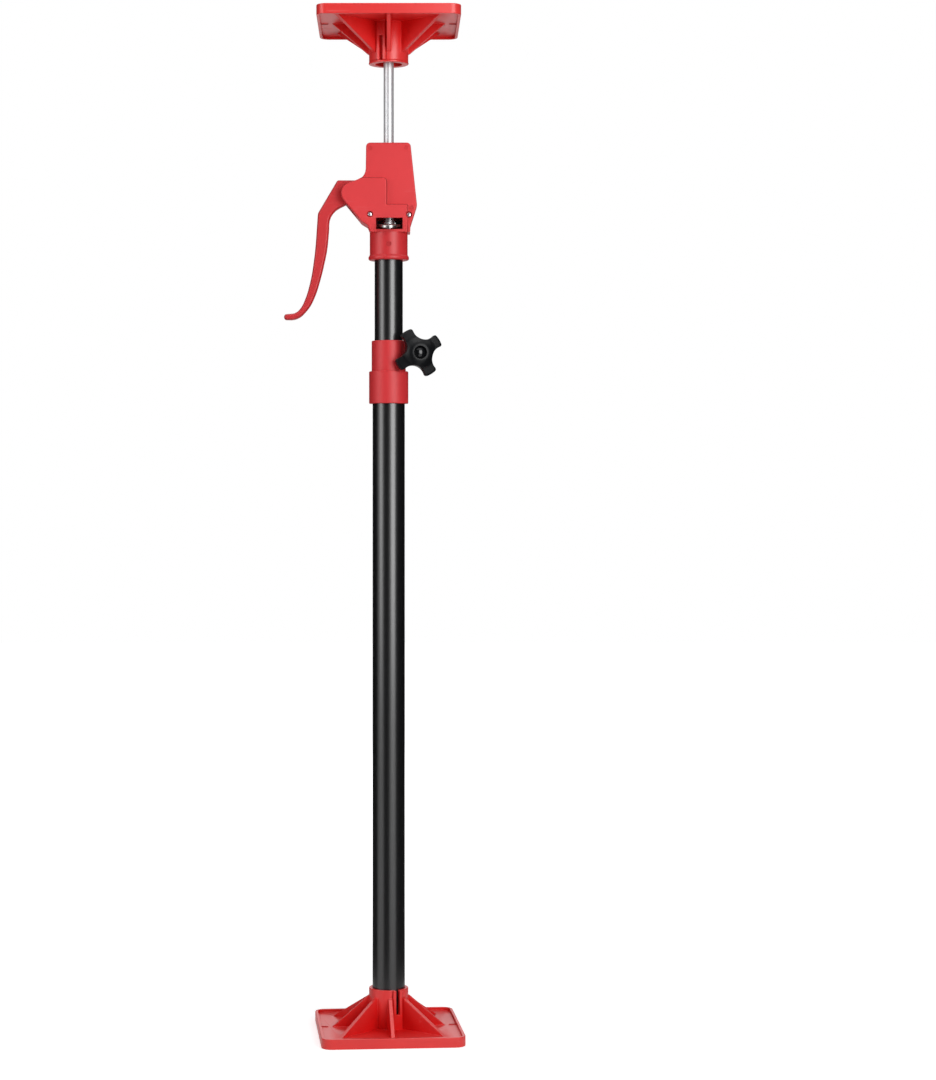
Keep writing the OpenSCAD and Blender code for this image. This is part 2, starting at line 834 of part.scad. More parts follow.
// Squeeze lever: rounded handle, hub on the pin, and an arm whose nose lifts the grip plates
module lever() {
    color("firebrick")
        translate([pivot_x, 0, pivot_z])
            difference() {
                union() {
                    soft_slab(scaled(lever_outline_shares, lever_len), lever_w, lever_edge_y,
                              lever_edge_in);
                    upright([[0, -arm_root], [nose_arm, -nose_r], [nose_arm, nose_r],
                             [0, nose_r]], -arm_w / 2, arm_w / 2);
                    translate([nose_arm, arm_w / 2, 0])
                        rotate([90, 0, 0])
                            cylinder(h = arm_w, r = nose_r);
                }
                translate([0, lever_w / 2 + over, 0])
                    rotate([90, 0, 0])
                        cylinder(h = lever_w + 2 * over, r = pin_r + run_gap);
            }
}

// Two hardened plates that grip the rod when the nose lifts them
module grip_plates() {
    color("gray")
        for (i = [0, 1])
            translate([0, 0, grip_z + i * (plate_t + grip_gap)])
                difference() {
                    translate([-grip_left, -grip_half, 0])
                        cube([grip_left + grip_right, 2 * grip_half, plate_t]);
                    translate([0, 0, -over])
                        cylinder(h = plate_t + 2 * over, r = grip_hole_r);
                }
}

// Release plate: leans on its fulcrum, with a bent tab that comes out of the window
module release_plate() {
    h = plate_t / 2;
    wide = release_w / 2;
    tab = tab_w / 2;
    color("silver")
        translate([0, fulcrum_y, fulcrum_z])
            rotate([release_lean, 0, 0]) {
                difference() {
                    translate([0, 0, -h])
                        linear_extrude(plate_t)
                            polygon(rounded([
                                [-wide, fulcrum_end, 0], [-wide, -shoulder_y, shoulder_r],
                                [-tab, -shoulder_y - flare_len, flare_r], [-tab, -bend_y, 0],
                                [tab, -bend_y, 0], [tab, -shoulder_y - flare_len, flare_r],
                                [wide, -shoulder_y, shoulder_r], [wide, fulcrum_end, 0]]));
                    translate([0, -fulcrum_y, -plate_t])
                        cylinder(h = 2 * plate_t, r = release_hole_r);
                }
                translate([0, -bend_y, 0])
                    rotate([tab_bend, 0, 0])
                        intersection() {
                            translate([-tab, -tab_reach - fulcrum_y + bend_y, -h])
                                cube([tab_w, tab_reach + fulcrum_y - bend_y + plate_t * 0.05,
                                      plate_t]);
                            translate([0, tab_end_r - tab_reach - fulcrum_y + bend_y, -plate_t])
                                union() {
                                    cylinder(h = 2 * plate_t, r = tab_end_r);
                                    translate([-tab, 0, 0])
                                        cube([tab_w, tab_reach, 2 * plate_t]);
                                }
                        }
            }
}

// Points on a spring's centre line, and its least gap to itself measured on them
function coil_path(r, z0, z1, turns) = let (n = turns * spring_rings)
    [for (i = [0 : n]) [r * cos(360 * i / spring_rings), r * sin(360 * i / spring_rings),
                        z0 + (z1 - z0) * i / n]];
function coil_gap(path, wire) = min([for (i = [0 : len(path) - spring_rings + 1])
    for (j = [i + spring_rings - 2 : min(i + spring_rings + 2, len(path) - 1)])
        norm(path[i] - path[j])]) - wire;

// Round wire along a coil: six-sided rings square to the path, closed at both ends
module coil(path, wire) {
    n = len(path);
    points = [for (i = [0 : n - 1])
        let (
            t = unit(path[min(i + 1, n - 1)] - path[max(i - 1, 0)]),
            out = unit([path[i].x, path[i].y, 0]),
            side = unit(cross(t, out)),
            up = cross(side, t))
        for (k = [0 : spring_sides - 1])
            path[i] + wire / 2 * (up * cos(360 * k / spring_sides)
                                  + side * sin(360 * k / spring_sides))];
    walls = [for (i = [0 : n - 2]) for (k = [0 : spring_sides - 1])
        let (
            a = i * spring_sides + k,
            b = i * spring_sides + (k + 1) % spring_sides,
            c = a + spring_sides,
            d = b + spring_sides)
        each [[a, c, b], [b, c, d]]];
    last = (n - 1) * spring_sides;
    caps = [for (k = [1 : spring_sides - 2]) each [[0, k, k + 1], [last, last + k + 1, last + k]]];
    polyhedron(points = points, faces = concat(walls, caps), convexity = 10);
}

release_path = coil_path(release_spring_r, release_spring_low + release_wire / 2 + clear_gap * 2,
                         shelf_z - release_wire / 2 - clear_gap, release_turns);
grip_path = coil_path(grip_spring_r, grip_top + grip_wire / 2 + clear_gap,
                      head_top - cover_wall - grip_wire / 2 - clear_gap, grip_turns);
echo(release_gap_found = coil_gap(release_path, release_wire),
     grip_gap_found = coil_gap(grip_path, grip_wire), pole_h = pole_h);

module release_spring() {
    color("lightgray")
        coil(release_path, release_wire);
}

module grip_spring() {
    color("lightgray")
        coil(grip_path, grip_wire);
}

// Rod with two grooves for the clips that trap its bush
module push_rod() {
    color("lightgray")
        difference() {
            translate([0, 0, rod_bottom])
                cylinder(h = rod_len - fit_gap, r = rod_r);
            for (z = [rod_bottom + clip_from_end,
                      rod_bottom + clip_from_end + clip_t + rod_bush_len + 2 * fit_gap])
                ring(rod_r + over, rod_r - groove_depth, z, z + clip_t);
        }
}

module rod_bush() {
    z = rod_bottom + clip_from_end + clip_t + fit_gap;
    color("gainsboro")
        ring(upper_in - run_gap, rod_r + run_gap, z, z + rod_bush_len);
}

module rod_circlips() {
    color("gray")
        for (z = [rod_bottom + clip_from_end,
                  rod_bottom + clip_from_end + clip_t + rod_bush_len + 2 * fit_gap])
            difference() {
                ring(clip_r, rod_r - groove_depth + fit_gap, z, z + clip_t);
                translate([0, -rod_r / 2, z - over])
                    cube([clip_r + over, rod_r, clip_t + 2 * over]);
            }
}

foot_plate();
foot_grip_mat();
lower_tube();
clamp_collar();
clamp_bolt();
clamp_washer();
clamp_knob();
clamp_nut();
knob_cap();
slide_bush();
upper_tube();
tube_socket();
rod_guide();
front_cover();
rear_cover();
cover_screws();
lever_pin();
lever();
grip_plates();
grip_spring();
release_plate();
release_spring();
push_rod();
rod_bush();
rod_circlips();
pad_adapter();
top_plate();
top_grip_mat();
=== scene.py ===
"""Telescopic drywall support pole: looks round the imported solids, from the foot up."""

from math import acos, atan2, cos, hypot, pi, radians, sin, sqrt

import bmesh
import bpy
from mathutils import Matrix, Vector


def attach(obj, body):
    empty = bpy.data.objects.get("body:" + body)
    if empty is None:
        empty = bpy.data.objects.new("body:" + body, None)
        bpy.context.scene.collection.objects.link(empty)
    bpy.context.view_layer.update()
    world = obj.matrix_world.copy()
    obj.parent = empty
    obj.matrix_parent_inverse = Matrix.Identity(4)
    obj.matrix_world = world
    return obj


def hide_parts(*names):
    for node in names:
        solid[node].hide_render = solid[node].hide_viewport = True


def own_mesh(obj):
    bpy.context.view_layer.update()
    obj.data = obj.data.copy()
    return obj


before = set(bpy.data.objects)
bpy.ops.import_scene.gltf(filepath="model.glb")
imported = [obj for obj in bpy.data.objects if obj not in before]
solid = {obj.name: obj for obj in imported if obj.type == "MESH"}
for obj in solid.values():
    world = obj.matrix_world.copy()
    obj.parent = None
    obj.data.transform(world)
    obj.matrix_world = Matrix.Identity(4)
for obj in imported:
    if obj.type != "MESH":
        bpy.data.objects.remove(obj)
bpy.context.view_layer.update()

# Foot: a square pad injection-moulded in red ABS, with a tall hub and eight gussets.
# Its parting edges are slightly rounded, the skin is a fine satin spark texture, and
# the rim carries the pale scuffs of a pad that has been stacked and slid about.
PAD_EDGE = 0.0007
RIB_ANGLE = radians(35)
FLAT_ANGLE = radians(0.5)
JOIN_DISTANCE = 0.00001
PAD_RED = (0.84, 0.040, 0.038, 1)


def shading_by_angle():
    """Group that welds a solid's faces and leaves an edge crisp only where it is a real corner."""
    group = bpy.data.node_groups.new("crisp_corners", "GeometryNodeTree")
    group.interface.new_socket(name="Mesh", in_out="INPUT", socket_type="NodeSocketGeometry")
    group.interface.new_socket(name="Mesh", in_out="OUTPUT", socket_type="NodeSocketGeometry")
    add, link = group.nodes.new, group.links.new
    start, end = add("NodeGroupInput"), add("NodeGroupOutput")
    strip, weld = add("GeometryNodeRemoveAttribute"), add("GeometryNodeMergeByDistance")
    strip.inputs["Name"].default_value = "custom_normal"
    weld.inputs["Distance"].default_value = JOIN_DISTANCE
    faces, edges = add("GeometryNodeSetShadeSmooth"), add("GeometryNodeSetShadeSmooth")
    edges.domain = "EDGE"
    angle, limit = add("GeometryNodeInputMeshEdgeAngle"), add("FunctionNodeCompare")
    limit.operation = "LESS_THAN"
    limit.inputs["B"].default_value = RIB_ANGLE
    link(start.outputs["Mesh"], strip.inputs["Geometry"])
    link(strip.outputs["Geometry"], weld.inputs["Geometry"])
    link(weld.outputs["Geometry"], faces.inputs["Geometry"])
    link(faces.outputs["Geometry"], edges.inputs["Geometry"])
    link(angle.outputs["Unsigned Angle"], limit.inputs["A"])
    link(limit.outputs["Result"], edges.inputs["Shade Smooth"])
    link(edges.outputs["Geometry"], end.inputs["Mesh"])
    return group


crisp_corners = shading_by_angle()


def soften(node, width, segments=2):
    """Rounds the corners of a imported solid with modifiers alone."""
    part = solid[node]
    part.modifiers.new("weld", "NODES").node_group = crisp_corners
    flat = part.modifiers.new("flats", "DECIMATE")
    flat.decimate_type = "DISSOLVE"
    flat.angle_limit = FLAT_ANGLE
    if width:
        edge = part.modifiers.new("edge", "BEVEL")
        edge.width = width
        edge.segments = segments
        edge.limit_method = "ANGLE"
        edge.angle_limit = RIB_ANGLE
        edge.use_clamp_overlap = False
        edge.harden_normals = True


def dress(names, material):
    for name in names:
        part = solid[name]
        part.data.materials.clear()
        part.data.materials.append(material)


def toned(colour, share):
    """A colour made darker or lighter by a share."""
    return [min(1, c * share) for c in colour[:3]] + [1]


SCUFF_LEAN = (0.3, 0.5, 0.6)
SCUFF_STRETCH = (0.35, 6, 6)
SCUFF_PATCHES = 22
SCUFF_LINES = (0.62, 0.70)
SCUFF_SPREAD = (0.55, 0.68)
SCUFF_PALE = (0.7, 0.28)
GRAIN_DEPTH = 0.4
GLOSS_RANGE = 0.05
COAT_ROUGH = 0.24
# Painted shade: dark red for the inside of the head seen through the window, where shade falls.
BOX_SHADE_BLACK = (0.030, 0.006, 0.006, 1)
# Painted shade: where walls stand close, occlusion darkens the colour and takes the sheen off.
VALLEY_SHADE_REACH = 0.035
VALLEY_SHADE_OPEN = (0.35, 0.85)
VALLEY_SHADE_TINT = (0.84, 0.3, 0.3)
VALLEY_SHADE_SHEEN = 0.15


def moulded_skin():
    """Group for moulded plastic: spark texture, clouding where the melt flowed, pale scuffs."""
    group = bpy.data.node_groups.new("moulded_skin", "ShaderNodeTree")
    sockets = group.interface
    for name, value in (("Grain Size", 2200.0), ("Cloud Size", 14.0), ("Scuff Size", 60.0)):
        made = sockets.new_socket(name=name, in_out="INPUT", socket_type="NodeSocketFloat")
        made.default_value = value
    for name in ("Grain", "Cloud", "Scuff"):
        sockets.new_socket(name=name, in_out="OUTPUT", socket_type="NodeSocketFloat")
    add, link = group.nodes.new, group.links.new
    start, end = add("NodeGroupInput"), add("NodeGroupOutput")
    place, slant = add("ShaderNodeTexCoord"), add("ShaderNodeMapping")
    grain, cloud = add("ShaderNodeTexNoise"), add("ShaderNodeTexNoise")
    scratch, patch = add("ShaderNodeTexNoise"), add("ShaderNodeTexNoise")
    fine, where, both = add("ShaderNodeMapRange"), add("ShaderNodeMapRange"), add("ShaderNodeMath")
    grain.inputs["Detail"].default_value = 2
    cloud.inputs["Detail"].default_value = 3
    slant.inputs["Rotation"].default_value = SCUFF_LEAN
    slant.inputs["Scale"].default_value = SCUFF_STRETCH
    patch.inputs["Scale"].default_value = SCUFF_PATCHES
    for ramp, (low, high) in ((fine, SCUFF_LINES), (where, SCUFF_SPREAD)):
        ramp.inputs["From Min"].default_value = low
        ramp.inputs["From Max"].default_value = high
    both.operation = "MULTIPLY"
    link(place.outputs["Object"], grain.inputs["Vector"])
    link(place.outputs["Object"], cloud.inputs["Vector"])
    link(place.outputs["Object"], patch.inputs["Vector"])
    link(place.outputs["Object"], slant.inputs["Vector"])
    link(slant.outputs["Vector"], scratch.inputs["Vector"])
    link(start.outputs["Grain Size"], grain.inputs["Scale"])
    link(start.outputs["Cloud Size"], cloud.inputs["Scale"])
    link(start.outputs["Scuff Size"], scratch.inputs["Scale"])
    link(scratch.outputs["Fac"], fine.inputs["Value"])
    link(patch.outputs["Fac"], where.inputs["Value"])
    link(fine.outputs["Result"], both.inputs[0])
    link(where.outputs["Result"], both.inputs[1])
    link(grain.outputs["Fac"], end.inputs["Grain"])
    link(cloud.outputs["Fac"], end.inputs["Cloud"])
    link(both.outputs[0], end.inputs["Scuff"])
    return group


skin_group = moulded_skin()


def moulded(name, colour, shine, relief, grain_size=2200.0, tone=0.10, specular=0.5,
            scuff=0.12, box_shade=None, coat=0.0, valley_shade=False):
    """Plastic with spark texture, clouding and scuffs; painted shade in a box and in valleys."""
    made = bpy.data.materials.new(name)
    made.use_nodes = True
    add, link = made.node_tree.nodes.new, made.node_tree.links.new
    shader = made.node_tree.nodes["Principled BSDF"]
    shader.inputs["Specular IOR Level"].default_value = specular
    shader.inputs["Coat Weight"].default_value = coat
    shader.inputs["Coat Roughness"].default_value = COAT_ROUGH
    skin = add("ShaderNodeGroup")
    skin.node_tree = skin_group
    skin.inputs["Grain Size"].default_value = grain_size
    mix, gloss, bump = add("ShaderNodeMix"), add("ShaderNodeMapRange"), add("ShaderNodeBump")
    mix.data_type = "RGBA"
    mix.inputs["A"].default_value = toned(colour, 1 - tone)
    mix.inputs["B"].default_value = toned(colour, 1 + tone)
    rubbed, pale = add("ShaderNodeMix"), add("ShaderNodeMath")
    rubbed.data_type = "RGBA"
    share, lift = SCUFF_PALE
    rubbed.inputs["B"].default_value = [min(1, c * share + lift) for c in colour[:3]] + [1]
    pale.operation = "MULTIPLY"
    pale.inputs[1].default_value = scuff
    gloss.inputs["To Min"].default_value = shine - GLOSS_RANGE
    gloss.inputs["To Max"].default_value = shine + GLOSS_RANGE
    bump.inputs["Strength"].default_value = GRAIN_DEPTH
    bump.inputs["Distance"].default_value = relief
    dull = add("ShaderNodeMath")
    dull.operation = "ADD"
    dull.use_clamp = True
    link(skin.outputs["Cloud"], mix.inputs["Factor"])
    link(skin.outputs["Scuff"], pale.inputs[0])
    link(pale.outputs[0], rubbed.inputs["Factor"])
    link(mix.outputs["Result"], rubbed.inputs["A"])
    last = rubbed
    # A box of painted shade darkens the colour where a part's inside lies in shadow.
    if box_shade:
        last = painted_box_shade(made, last, *box_shade)
    # Painted shade and less sheen in the valleys, read from occlusion.
    if valley_shade:
        last = painted_valley_shade(made, last, colour, specular)
    link(last.outputs["Result"], shader.inputs["Base Color"])
    link(skin.outputs["Grain"], gloss.inputs["Value"])
    link(gloss.outputs["Result"], dull.inputs[0])
    link(pale.outputs[0], dull.inputs[1])
    link(dull.outputs[0], shader.inputs["Roughness"])
    link(skin.outputs["Grain"], bump.inputs["Height"])
    link(bump.outputs["Normal"], shader.inputs["Normal"])
    return made


def painted_box_shade(material, clean, centre, half):
    """Paints shade into a material's colour inside a box, where the inside of the head lies in
    shadow.
    """
    add, link = material.node_tree.nodes.new, material.node_tree.links.new
    place, shift, size = (add("ShaderNodeTexCoord"), add("ShaderNodeVectorMath"),
                          add("ShaderNodeVectorMath"))
    flip, split = add("ShaderNodeVectorMath"), add("ShaderNodeSeparateXYZ")
    wide, deep, inside = add("ShaderNodeMath"), add("ShaderNodeMath"), add("ShaderNodeMath")
    dark = add("ShaderNodeMix")
    shift.operation, flip.operation, size.operation = "SUBTRACT", "ABSOLUTE", "DIVIDE"
    shift.inputs[1].default_value = centre
    size.inputs[1].default_value = half
    wide.operation = deep.operation = "MAXIMUM"
    inside.operation = "LESS_THAN"
    inside.inputs[1].default_value = 1
    dark.data_type = "RGBA"
    dark.inputs["B"].default_value = BOX_SHADE_BLACK
    link(place.outputs["Object"], shift.inputs[0])
    link(shift.outputs[0], flip.inputs[0])
    link(flip.outputs[0], size.inputs[0])
    link(size.outputs[0], split.inputs[0])
    link(split.outputs["X"], wide.inputs[0])
    link(split.outputs["Y"], wide.inputs[1])
    link(wide.outputs[0], deep.inputs[0])
    link(split.outputs["Z"], deep.inputs[1])
    link(deep.outputs[0], inside.inputs[0])
    link(inside.outputs[0], dark.inputs["Factor"])
    link(clean.outputs["Result"], dark.inputs["A"])
    return dark


def painted_valley_shade(material, clean, colour, specular):
    """Paints shade into a colour and takes its sheen off where walls stand close together."""
    add, link = material.node_tree.nodes.new, material.node_tree.links.new
    shader = material.node_tree.nodes["Principled BSDF"]
    sky, share = add("ShaderNodeAmbientOcclusion"), add("ShaderNodeMapRange")
    deep, sheen = add("ShaderNodeMix"), add("ShaderNodeMapRange")
    sky.only_local = True
    sky.inputs["Distance"].default_value = VALLEY_SHADE_REACH
    share.inputs["From Min"].default_value, share.inputs["From Max"].default_value = VALLEY_SHADE_OPEN
    deep.data_type = "RGBA"
    deep.inputs["A"].default_value = [c * k for c, k in zip(colour, VALLEY_SHADE_TINT)] + [1]
    sheen.inputs["To Min"].default_value = specular * VALLEY_SHADE_SHEEN
    sheen.inputs["To Max"].default_value = specular
    link(sky.outputs["AO"], share.inputs["Value"])
    link(share.outputs["Result"], deep.inputs["Factor"])
    link(clean.outputs["Result"], deep.inputs["B"])
    link(share.outputs["Result"], sheen.inputs["Value"])
    link(sheen.outputs["Result"], shader.inputs["Specular IOR Level"])
    return deep


# The pads get painted shade, a darker red and less sheen, in the valleys between their gussets.
pad_red = moulded("pad_red", PAD_RED, 0.33, 0.00002, scuff=0.30, specular=0.62, valley_shade=True)
soften("foot_plate", PAD_EDGE)
soften("top_plate", PAD_EDGE)
soften("pad_adapter", PAD_EDGE)
dress(["foot_plate", "top_plate", "pad_adapter"], pad_red)

# Grip mats: soft red mats pressed into both pads' faces, with rows of small square blocks.
# The blocks stop the pads slipping on floor and board.
MAT_EDGE = 0.00035
MAT_RED = (0.76, 0.060, 0.055, 1)
mat_red = moulded("mat_red", MAT_RED, 0.5, 0.00003, grain_size=1600.0)
soften("foot_grip_mat", MAT_EDGE, 1)
soften("top_grip_mat", MAT_EDGE, 1)
dress(["foot_grip_mat", "top_grip_mat"], mat_red)

# Tubes: seam-welded steel in black gloss enamel with a little orange peel, under a clear
# layer whose highlights run down the whole length.
TUBE_BLACK = (0.0045, 0.0045, 0.0052, 1)
tube_black = moulded("tube_black", TUBE_BLACK, 0.30, 0.000001, grain_size=500.0, specular=0.5,
                     scuff=0.01, coat=1.0)
for name in ("lower_tube", "upper_tube"):
    soften(name, 0)
dress(["lower_tube", "upper_tube"], tube_black)

# Clamp collar: a thick red moulding over the lower tube's top, split into two ears.
# Its outer rims and the ears' faces are rounded, its bores and slots stay sharp.
COLLAR_EDGE = 0.0009
MOULDING_RED = (0.67, 0.028, 0.034, 1)
BOLT_TURN = radians(12)
BOLT_AT = Vector((0.0239646, 0.0050938, 0.673074))
BOLT_AXIS = Vector((sin(BOLT_TURN), -cos(BOLT_TURN), 0))
COLLAR_RIMS = (0.6235, 0.6555, 0.6858)
EAR_FACE = 0.01025
EAR_BORE = 0.006
COLLAR_INSIDE = 0.0155


def near(a, b, slack=0.00002):
    return abs(a - b) < slack


def settle(work, name, body, material, node, marks=(), others=()):
    """Makes a piece of a finished mesh, crisp at its corners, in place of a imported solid."""
    data = bpy.data.meshes.new(name)
    bmesh.ops.recalc_face_normals(work, faces=work.faces)
    for face in work.faces:
        face.smooth = True
    for edge in work.edges:
        edge.smooth = not edge.is_manifold or edge.calc_face_angle(0) < RIB_ANGLE
    for face in work.faces:
        at = face.calc_center_median()
        if any((at - Vector(c)).length < r for c, r in marks):
            face.material_index = 1
    work.to_mesh(data)
    work.free()
    for finish in (material, *others):
        data.materials.append(finish)
    piece = bpy.data.objects.new(name, data)
    level = piece.modifiers.new("flat_faces", "WEIGHTED_NORMAL")
    level.keep_sharp = True
    bpy.context.scene.collection.objects.link(piece)
    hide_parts(node)
    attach(piece, body)
    return piece


def recut(node, body, material, rounds, marks=(), others=()):
    """Copy of a solid with chosen edges rounded, in turns of (picks, width, segments, finish)."""
    work = bmesh.new()
    work.from_mesh(solid[node].data)
    bmesh.ops.remove_doubles(work, verts=work.verts, dist=JOIN_DISTANCE)
    bmesh.ops.dissolve_limit(work, angle_limit=FLAT_ANGLE, verts=work.verts, edges=work.edges)
    for picks, width, segments, finish in rounds:
        chosen = [edge for edge in work.edges
                  if edge.is_manifold and edge.calc_face_angle(0) > RIB_ANGLE and picks(edge)]
        bmesh.ops.bevel(work, geom=chosen, offset=width, segments=segments, profile=0.5,
                        affect="EDGES", clamp_overlap=False, material=finish)
    return settle(work, node + "_skin", body, material, node, marks=marks, others=others)


def collar_picks(edge):
    ends = [v.co for v in edge.verts]
    rim = any(all(near(p.z, z) for p in ends) for z in COLLAR_RIMS)
    if rim and all(hypot(p.x, p.y) > COLLAR_INSIDE for p in ends):
        return edge.calc_face_angle_signed(0) > 0
    along = [(p - BOLT_AT).dot(BOLT_AXIS) for p in ends]
    off = [((p - BOLT_AT) - BOLT_AXIS * a).length for p, a in zip(ends, along)]
    return all(near(abs(a), EAR_FACE) for a in along) and max(off) > EAR_BORE


moulding_red = moulded("moulding_red", MOULDING_RED, 0.47, 0.00002)
recut("clamp_collar", "lower", moulding_red, [(collar_picks, COLLAR_EDGE, 3, 0)])

# Socket: a thick red moulding on the upper tube's top with a rounded flange and one ejector
# dimple in front. The lever is the same plastic, moulded in one piece.
DIMPLE_Z = 0.78025
DIMPLE_BOX = 0.003
SOCKET_EDGE = 0.0007
SOCKET_WALL = 0.0175
FLANGE_TOP = 0.772
LEVER_TONE = 0.93
DIMPLE_TONE = 0.80


def socket_picks(edge):
    ends = [v.co for v in edge.verts]
    dimple = all(abs(p.x) < DIMPLE_BOX and abs(p.z - DIMPLE_Z) < DIMPLE_BOX for p in ends)
    return not dimple and all(hypot(p.x, p.y) > SOCKET_WALL and p.z < FLANGE_TOP for p in ends)


# Painted shade: a box round the socket's top inside the head, painted dark as shade.
SOCKET_SHADE_BOX = ((0, 0, 0.8000), (0.0162, 0.0162, 0.0074))
DIMPLE = [((0, -0.01795, DIMPLE_Z), 0.0022)]
lever_red = moulded("lever_red", toned(MOULDING_RED, LEVER_TONE), 0.40, 0.00002)
dimple_red = moulded("dimple_red", toned(MOULDING_RED, DIMPLE_TONE), 0.34, 0.00001)
socket_red = moulded("socket_red", MOULDING_RED, 0.42, 0.00002, box_shade=SOCKET_SHADE_BOX)
recut("tube_socket", "head", socket_red, [(socket_picks, SOCKET_EDGE, 3, 0)],
      marks=DIMPLE, others=[dimple_red])
recut("lever", "lever", lever_red, [])

# Head covers: two shells in a brighter, matt red, screwed together from the front.
# Their outer edges are well rounded; their inside behind the window and the step's fillets have
# painted shade.
COVER_EDGE = 0.0012
STEP_FILLET = 0.0009
COVER_FOOT = 0.7930
COVER_RED = (0.76, 0.036, 0.042, 1)
MARK_TONE = 0.88
# Painted shade: the fillets at the foot of the front step are painted darker, as a shadow line in
# the corner.
STEP_SHADE_TONE = 0.52
MARK_R = 0.0021
MARK_Y = 0.0126
# Painted shade: a box behind the window, inside which the covers are painted dark as shade.
WINDOW_SHADE_AT = (0.0006, -0.0002, 0.8020)
WINDOW_SHADE_HALF = (0.0150, 0.01485, 0.0100)
FACES_Y = (0.0175, 0.013)
WINDOW = ((-0.0127, 0.0139), (0.7948, 0.8063))
ROUND_PLACES = ((-0.018564, 0.809638, 0.0035), (0.019802, 0.809638, 0.0035),
                (-0.018034, 0.875408, 0.0023), (0.016973, 0.875761, 0.0023),
                (0.022277, 0.816356, 0.0023))


def on_face(edge):
    return any(all(near(abs(v.co.y), y) for v in edge.verts) for y in FACES_Y)


def opening_edge(edge):
    """Whether an edge belongs to the window, a screw's recess or an ejector mark."""
    ends = [v.co for v in edge.verts]
    (left, right), (low, high) = WINDOW
    window = all(left < p.x < right and low < p.z < high and p.y < 0 for p in ends)
    return window or any(all(hypot(p.x - x, p.z - z) < r for p in ends)
                         for x, z, r in ROUND_PLACES)


def step_picks(edge):
    return on_face(edge) and not opening_edge(edge) and edge.calc_face_angle_signed(0) < 0


def outline_picks(edge):
    foot = all(v.co.z < COVER_FOOT for v in edge.verts)
    corner = edge.calc_face_angle_signed(0) > 0
    return corner and on_face(edge) and not foot and not opening_edge(edge)


cover_red = moulded("cover_red", COVER_RED, 0.46, 0.00003, grain_size=1500.0,
                    box_shade=(WINDOW_SHADE_AT, WINDOW_SHADE_HALF))
mark_red = moulded("mark_red", toned(COVER_RED, MARK_TONE), 0.34, 0.00001)
step_shade_red = moulded("step_shade_red", toned(COVER_RED, STEP_SHADE_TONE), 0.55, 0.00003)
# The step's fillets take finish 2, the painted-shade red; the window's inside takes the painted
# shade box.
for node, side in (("front_cover", -1), ("rear_cover", 1)):
    recut(node, "head", cover_red,
          [(step_picks, STEP_FILLET, 3, 2), (outline_picks, COVER_EDGE, 4, 0)],
          marks=[((x, side * MARK_Y, z), MARK_R) for x, z, r in ROUND_PLACES[2:]],
          others=[mark_red, step_shade_red])

# Knob: black nylon moulding with four lobes round a low dome, a boss behind it, and a glossy
# cap pressed in over its nut.
KNOB_R = 0.0245
LOBE_TURN = radians(32)
HOLLOW_OUT = 0.026
HOLLOW_R = 0.0125
LOBE_ROUND = 0.0022
KNOB_BACK = 0.0119
KNOB_BASE = 0.0209
KNOB_RIM = 0.0070
KNOB_TOP = 0.0349
KNOB_EDGE = 0.0014
KNOB_SPAN = 0.0185
KNOB_UNDER = ((0.55, 0.0), (0.94, 0.0), (0.985, 0.0005), (1.0, 0.0014))
DOME_R = 0.0165
DOME_RUN = 0.0095
LOBE_RISE = 0.0024
LOBE_RUN = 0.009
LOBE_LIMIT = 1.6
BOSS = ((0.0033, KNOB_BACK), (0.0084, KNOB_BACK), (0.0089, KNOB_BACK + 0.0005),
        (0.0090, KNOB_BACK + 0.0012), (0.0092, KNOB_BASE - 0.0012), (0.0104, KNOB_BASE + 0.0003),
        (0.0104, KNOB_BASE + 0.0010))
CORNER_STEPS = 10
HOLLOW_STEPS = 24
LOBE_STEPS = 8
EDGE_STEPS = 5
CROWN_STEPS = 14
CAP_R = 0.00605
CAP_LIP = 0.0005
CAP_SEAT = ((0.00025, 0.0018), (0.0, 0.0024), (0.0, 0.0055))
CAP = ((0.0059, 0.0050), (0.0059, 0.0031), (0.0057, 0.0027), (0.0052, 0.0024), (0.0044, 0.0019),
       (0.0034, 0.0014), (0.0022, 0.0010), (0.0011, 0.00085), (0.0, 0.0008))
POINT_R = 0.00001
KNOB_BLACK = (0.0055, 0.006, 0.007, 1)
bolt_frame = Matrix.Translation(BOLT_AT) @ Matrix.Rotation(BOLT_TURN, 4, "Z") @ Matrix.Rotation(
    pi / 2, 4, "X")


